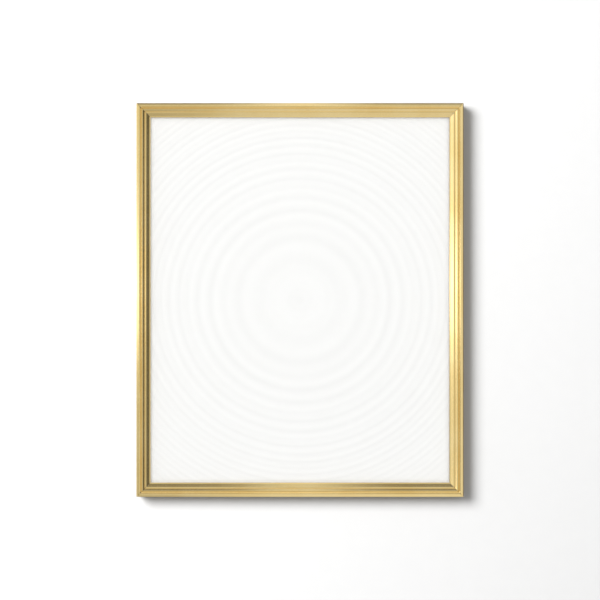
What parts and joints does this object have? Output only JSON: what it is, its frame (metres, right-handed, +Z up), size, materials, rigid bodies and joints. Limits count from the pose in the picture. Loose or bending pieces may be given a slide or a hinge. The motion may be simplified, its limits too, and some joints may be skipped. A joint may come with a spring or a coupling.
{
  "type": "sectional picture frame",
  "caption": "Slim stepped gold metal display frame with glazed white board, corner angles in rear channels, spring clips, sliding D-ring hangers and wall bumpers.",
  "frame": {"origin": "centre of the frame on the wall plane, where the backs of the bumpers lie", "axes": "+X to the viewer's right, +Z up as hung, +Y from the front to the wall"},
  "size_m": [0.3746, 0.025, 0.4508],
  "materials": {
    "gold_anodised": "bright gold anodised",
    "zinc_plate": "zinc plated",
    "spring_steel": "tempered",
    "screw_steel": "black oxide",
    "nickel_wire": "nickel plated",
    "clear_glass": "clear picture glass",
    "white_board": "matt white cotton board",
    "backing_fibreboard": "smooth hardboard",
    "bumper_rubber": "matt"
  },
  "bodies": {
    "frame": {"top_rail": "gold_anodised", "left_rail": "gold_anodised", "right_rail": "gold_anodised", "corner_angle_upper_left": "zinc_plate", "corner_angle_upper_right": "zinc_plate", "corner_shim_upper_left": "spring_steel", "corner_shim_upper_right": "spring_steel", "corner_set_screws_upper": "screw_steel", "glazing": "clear_glass", "mount_board": "white_board", "backing_board": "backing_fibreboard", "spring_clips": "spring_steel", "bumper_upper_left": "bumper_rubber", "bumper_upper_right": "bumper_rubber"},
    "loading_end": {"bottom_rail": "gold_anodised", "corner_set_screws_lower": "screw_steel", "corner_angle_lower_left": "zinc_plate", "corner_angle_lower_right": "zinc_plate", "corner_shim_lower_left": "spring_steel", "corner_shim_lower_right": "spring_steel", "bumper_lower_left": "bumper_rubber", "bumper_lower_right": "bumper_rubber"},
    "hanger_left": {"hanger_plate_left": "zinc_plate", "hanger_set_screws_left": "screw_steel"},
    "hanger_right": {"hanger_plate_right": "zinc_plate", "hanger_set_screws_right": "screw_steel"},
    "ring_left": {"hanger_ring_left": "nickel_wire"},
    "ring_right": {"hanger_ring_right": "nickel_wire"}
  },
  "joints": [
    {"name": "loading_end_slide", "type": "slide", "parent": "frame", "child": "loading_end", "axis": [0, 0, -1], "range_m": [0, 0.06]},
    {"name": "hanger_left_slide", "type": "slide", "parent": "frame", "child": "hanger_left", "axis": [0, 0, 1], "range_m": [-0.24, 0.095]},
    {"name": "hanger_right_slide", "type": "slide", "parent": "frame", "child": "hanger_right", "axis": [0, 0, 1], "range_m": [-0.24, 0.095]},
    {"name": "ring_left_hinge", "type": "hinge", "parent": "hanger_left", "child": "ring_left", "pos_m": [-0.18093, -0.0018, 0.07543], "axis": [0, 0, 1], "range_deg": [0, 180]},
    {"name": "ring_right_hinge", "type": "hinge", "parent": "hanger_right", "child": "ring_right", "pos_m": [0.18093, -0.0018, 0.07543], "axis": [0, 0, -1], "range_deg": [0, 180]}
  ]
}
